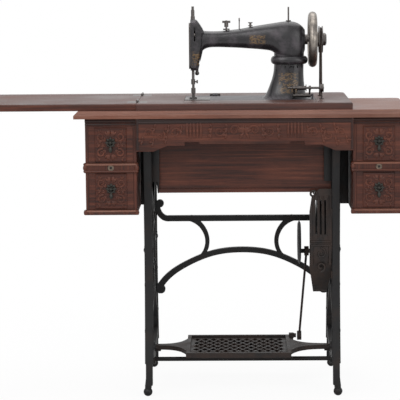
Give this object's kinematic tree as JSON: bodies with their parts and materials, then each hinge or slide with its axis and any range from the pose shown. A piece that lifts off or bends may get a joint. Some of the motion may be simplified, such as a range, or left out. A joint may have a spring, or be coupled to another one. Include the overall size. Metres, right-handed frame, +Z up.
{
  "type": "treadle sewing machine in cabinet",
  "caption": "Antique treadle sewing machine: black machine head on a wooden drop-leaf table with carved drawers, on a cast-iron stand with flywheel, belt and rocking treadle.",
  "frame": {"origin": "middle of the overall footprint on the floor, with the leaf open", "axes": "+X to the sitter's right along the table, -Y towards the sitter, +Z up"},
  "size_m": [1.2968, 0.4425, 1.033],
  "materials": {
    "walnut": "aged satin varnish",
    "iron": "worn black paint",
    "japan": "worn black japan",
    "steel": "aged plain steel",
    "nickel": "dulled nickel",
    "brass": "aged",
    "leather": "oiled round belting",
    "dark_bronze": "darkened"
  },
  "bodies": {
    "stand": {"leg_frame_left": "iron", "leg_frame_right": "iron", "cross_brace": "iron", "tie_rod": "iron", "ball_feet": "iron", "dress_guard": "iron", "flywheel_bracket": "iron", "stand_fasteners": "steel", "table_board": "walnut", "top_panel": "walnut", "front_apron": "walnut", "dust_box_front": "walnut", "dust_box_tray": "walnut", "drawer_case_left": "walnut", "drawer_case_right": "walnut", "keyhole_plates": "brass", "hinge_plates": "steel", "drive_belt": "leather"},
    "leaf": {"leaf": "walnut", "leaf_hinge_wings": "steel"},
    "flap": {"front_flap": "walnut"},
    "head": {"machine_bed": "japan", "machine_arm": "japan", "face_plate": "steel", "needle_plate": "steel", "shaft_bushings": "brass", "spool_pin": "steel", "tension_post": "steel", "thread_guides": "steel", "pressure_screw": "steel"},
    "handwheel": {"handwheel": "nickel", "main_shaft": "steel"},
    "clutch": {"clutch_knob": "nickel"},
    "tension": {"tension_nut": "steel"},
    "needle": {"needle_bar": "steel"},
    "presser": {"presser_bar": "steel", "presser_foot": "steel"},
    "lifter": {"presser_lifter": "steel"},
    "stitch": {"stitch_regulator": "steel"},
    "winder": {"winder_frame": "steel"},
    "spindle": {"winder_spindle": "steel"},
    "cover": {"slide_plate": "steel"},
    "take_up": {"take_up_lever": "steel"},
    "shuttle": {"shuttle_carrier": "steel"},
    "flywheel": {"flywheel": "iron", "crank": "iron"},
    "pitman": {"pitman": "iron"},
    "treadle": {"treadle": "iron"},
    "drawer_upper_left": {"drawer_upper_left": "walnut", "pull_plate_upper_left": "dark_bronze"},
    "ring_upper_left": {"pull_ring_upper_left": "dark_bronze"},
    "drawer_upper_right": {"drawer_upper_right": "walnut", "pull_plate_upper_right": "dark_bronze"},
    "ring_upper_right": {"pull_ring_upper_right": "dark_bronze"},
    "drawer_lower_left": {"drawer_lower_left": "walnut", "pull_plate_lower_left": "dark_bronze"},
    "ring_lower_left": {"pull_ring_lower_left": "dark_bronze"},
    "drawer_lower_right": {"drawer_lower_right": "walnut", "pull_plate_lower_right": "dark_bronze"},
    "ring_lower_right": {"pull_ring_lower_right": "dark_bronze"}
  },
  "joints": [
    {"name": "leaf_fold", "type": "hinge", "parent": "stand", "child": "leaf", "pos_m": [-0.082, 0, 0.7884], "axis": [0, 1, 0], "range_deg": [0, 110]},
    {"name": "flap_lift", "type": "hinge", "parent": "stand", "child": "flap", "pos_m": [0.2164, -0.1511, 0.7763], "axis": [1, 0, 0], "range_deg": [0, 90]},
    {"name": "head_tilt", "type": "hinge", "parent": "stand", "child": "head", "pos_m": [0.2214, 0.095, 0.7884], "axis": [-1, 0, 0], "range_deg": [0, 75], "deforming": ["drive_belt"]},
    {"name": "handwheel_spin", "type": "hinge", "parent": "head", "child": "handwheel", "pos_m": [0.3874, 0, 0.942], "axis": [1, 0, 0], "continuous": true},
    {"name": "clutch_turn", "type": "hinge", "parent": "handwheel", "child": "clutch", "pos_m": [0.4194, 0, 0.942], "axis": [1, 0, 0], "range_deg": [0, 90]},
    {"name": "tension_turn", "type": "hinge", "parent": "head", "child": "tension", "pos_m": [0.1544, 0, 0.976], "axis": [0, 0, 1], "range_deg": [-180, 180]},
    {"name": "needle_slide", "type": "slide", "parent": "head", "child": "needle", "axis": [0, 0, 1], "range_m": [-0.022, 0]},
    {"name": "presser_lift", "type": "slide", "parent": "head", "child": "presser", "axis": [0, 0, 1], "range_m": [0, 0.007]},
    {"name": "lifter_swing", "type": "hinge", "parent": "head", "child": "lifter", "pos_m": [0.0734, 0.0315, 0.895], "axis": [0, -1, 0], "range_deg": [0, 80]},
    {"name": "stitch_slide", "type": "slide", "parent": "head", "child": "stitch", "axis": [0, 0, 1], "range_m": [-0.006, 0.006]},
    {"name": "winder_swing", "type": "hinge", "parent": "head", "child": "winder", "pos_m": [0.3564, -0.052, 0.794], "axis": [1, 0, 0], "range_deg": [0, 15]},
    {"name": "spindle_spin", "type": "hinge", "parent": "winder", "child": "spindle", "pos_m": [0.3664, -0.067, 0.815], "axis": [1, 0, 0], "continuous": true},
    {"name": "cover_slide", "type": "slide", "parent": "head", "child": "cover", "axis": [0, -1, 0], "range_m": [0, 0.026]},
    {"name": "take_up_swing", "type": "hinge", "parent": "head", "child": "take_up", "pos_m": [0.0688, 0.002, 0.957], "axis": [1, 0, 0], "range_deg": [-12, 12]},
    {"name": "shuttle_swing", "type": "hinge", "parent": "head", "child": "shuttle", "pos_m": [0.2014, 0.02, 0.745], "axis": [1, 0, 0], "range_deg": [-7, 12]},
    {"name": "flywheel_spin", "type": "hinge", "parent": "stand", "child": "flywheel", "pos_m": [0.4094, 0, 0.388], "axis": [1, 0, 0], "continuous": true},
    {"name": "pitman_swing", "type": "hinge", "parent": "flywheel", "child": "pitman", "pos_m": [0.3704, 0, 0.363], "axis": [1, 0, 0], "continuous": true},
    {"name": "treadle_rock", "type": "hinge", "parent": "stand", "child": "treadle", "pos_m": [0.1934, 0, 0.094], "axis": [1, 0, 0], "range_deg": [0, 28]},
    {"name": "drawer_upper_left_slide", "type": "slide", "parent": "stand", "child": "drawer_upper_left", "axis": [0, -1, 0], "range_m": [0, 0.26]},
    {"name": "ring_upper_left_swing", "type": "hinge", "parent": "drawer_upper_left", "child": "ring_upper_left", "pos_m": [-0.1496, -0.2161, 0.6845], "axis": [-1, 0, 0], "range_deg": [0, 80]},
    {"name": "drawer_upper_right_slide", "type": "slide", "parent": "stand", "child": "drawer_upper_right", "axis": [0, -1, 0], "range_m": [0, 0.26]},
    {"name": "ring_upper_right_swing", "type": "hinge", "parent": "drawer_upper_right", "child": "ring_upper_right", "pos_m": [0.5524, -0.2161, 0.6845], "axis": [-1, 0, 0], "range_deg": [0, 80]},
    {"name": "drawer_lower_left_slide", "type": "slide", "parent": "stand", "child": "drawer_lower_left", "axis": [0, -1, 0], "range_m": [0, 0.26]},
    {"name": "ring_lower_left_swing", "type": "hinge", "parent": "drawer_lower_left", "child": "ring_lower_left", "pos_m": [-0.1496, -0.2161, 0.5625], "axis": [-1, 0, 0], "range_deg": [0, 80]},
    {"name": "drawer_lower_right_slide", "type": "slide", "parent": "stand", "child": "drawer_lower_right", "axis": [0, -1, 0], "range_m": [0, 0.26]},
    {"name": "ring_lower_right_swing", "type": "hinge", "parent": "drawer_lower_right", "child": "ring_lower_right", "pos_m": [0.5524, -0.2161, 0.5625], "axis": [-1, 0, 0], "range_deg": [0, 80]}
  ],
  "couplings": [
    {"joint": "handwheel_spin", "follows": "flywheel_spin", "ratio": 3.881},
    {"joint": "pitman_swing", "follows": "flywheel_spin", "ratio": -1}
  ]
}
